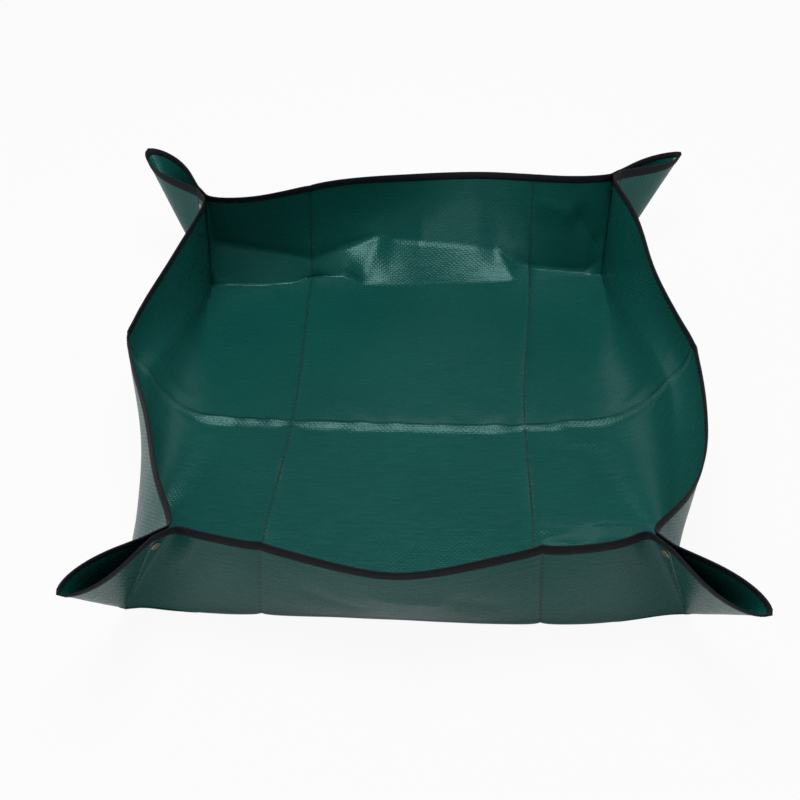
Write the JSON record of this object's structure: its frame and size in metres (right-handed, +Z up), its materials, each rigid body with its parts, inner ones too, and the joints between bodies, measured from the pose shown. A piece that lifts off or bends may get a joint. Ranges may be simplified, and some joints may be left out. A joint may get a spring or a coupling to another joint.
{
  "type": "repotting mat",
  "caption": "Square waterproof sheet folded into a shallow tray, with pinched corner ears that swing and are held by snap fasteners.",
  "frame": {"origin": "middle of the floor's flat underside, on the surface that the mat lies on", "axes": "+Z up out of the open tray, -Y towards the front wall, +X to the right seen from the front"},
  "size_m": [0.8026, 0.9122, 0.1868],
  "materials": {
    "laminate": "semi-gloss woven polyethylene laminate",
    "edge_tape": "matt woven tape",
    "nickel": "satin nickel plate",
    "spring_steel": "bright"
  },
  "bodies": {
    "root": {"mat_sheet": "laminate", "tape_front": "edge_tape", "tape_right": "edge_tape", "tape_back": "edge_tape", "tape_left": "edge_tape", "cap_front_left": "nickel", "socket_front_left": "nickel", "spring_front_left": "spring_steel", "stud_front_left": "nickel", "eyelet_front_left": "nickel", "cap_front_right": "nickel", "socket_front_right": "nickel", "spring_front_right": "spring_steel", "stud_front_right": "nickel", "eyelet_front_right": "nickel", "cap_back_right": "nickel", "socket_back_right": "nickel", "spring_back_right": "spring_steel", "stud_back_right": "nickel", "eyelet_back_right": "nickel", "cap_back_left": "nickel", "socket_back_left": "nickel", "spring_back_left": "spring_steel", "stud_back_left": "nickel", "eyelet_back_left": "nickel"},
    "ear_front_left": {"ear_front_left": "laminate", "ear_tape_front_left": "edge_tape"},
    "ear_front_right": {"ear_front_right": "laminate", "ear_tape_front_right": "edge_tape"},
    "ear_back_right": {"ear_back_right": "laminate", "ear_tape_back_right": "edge_tape"},
    "ear_back_left": {"ear_back_left": "laminate", "ear_tape_back_left": "edge_tape"}
  },
  "joints": [
    {"name": "ear_front_left_swing", "type": "hinge", "parent": "root", "child": "ear_front_left", "pos_m": [-0.32627, -0.32422, 0], "axis": [0.3657, -0.0503, 0.9294], "range_deg": [-25, 25]},
    {"name": "ear_front_right_swing", "type": "hinge", "parent": "root", "child": "ear_front_right", "pos_m": [0.33311, -0.31806, 0], "axis": [-0.2251, -0.1434, 0.9637], "range_deg": [-25, 25]},
    {"name": "ear_back_right_swing", "type": "hinge", "parent": "root", "child": "ear_back_right", "pos_m": [0.27326, 0.31122, 0], "axis": [0.1258, 0.3463, 0.9297], "range_deg": [-25, 25]},
    {"name": "ear_back_left_swing", "type": "hinge", "parent": "root", "child": "ear_back_left", "pos_m": [-0.31259, 0.28386, 0], "axis": [-0.0178, 0.1685, 0.9855], "range_deg": [-25, 25]}
  ]
}
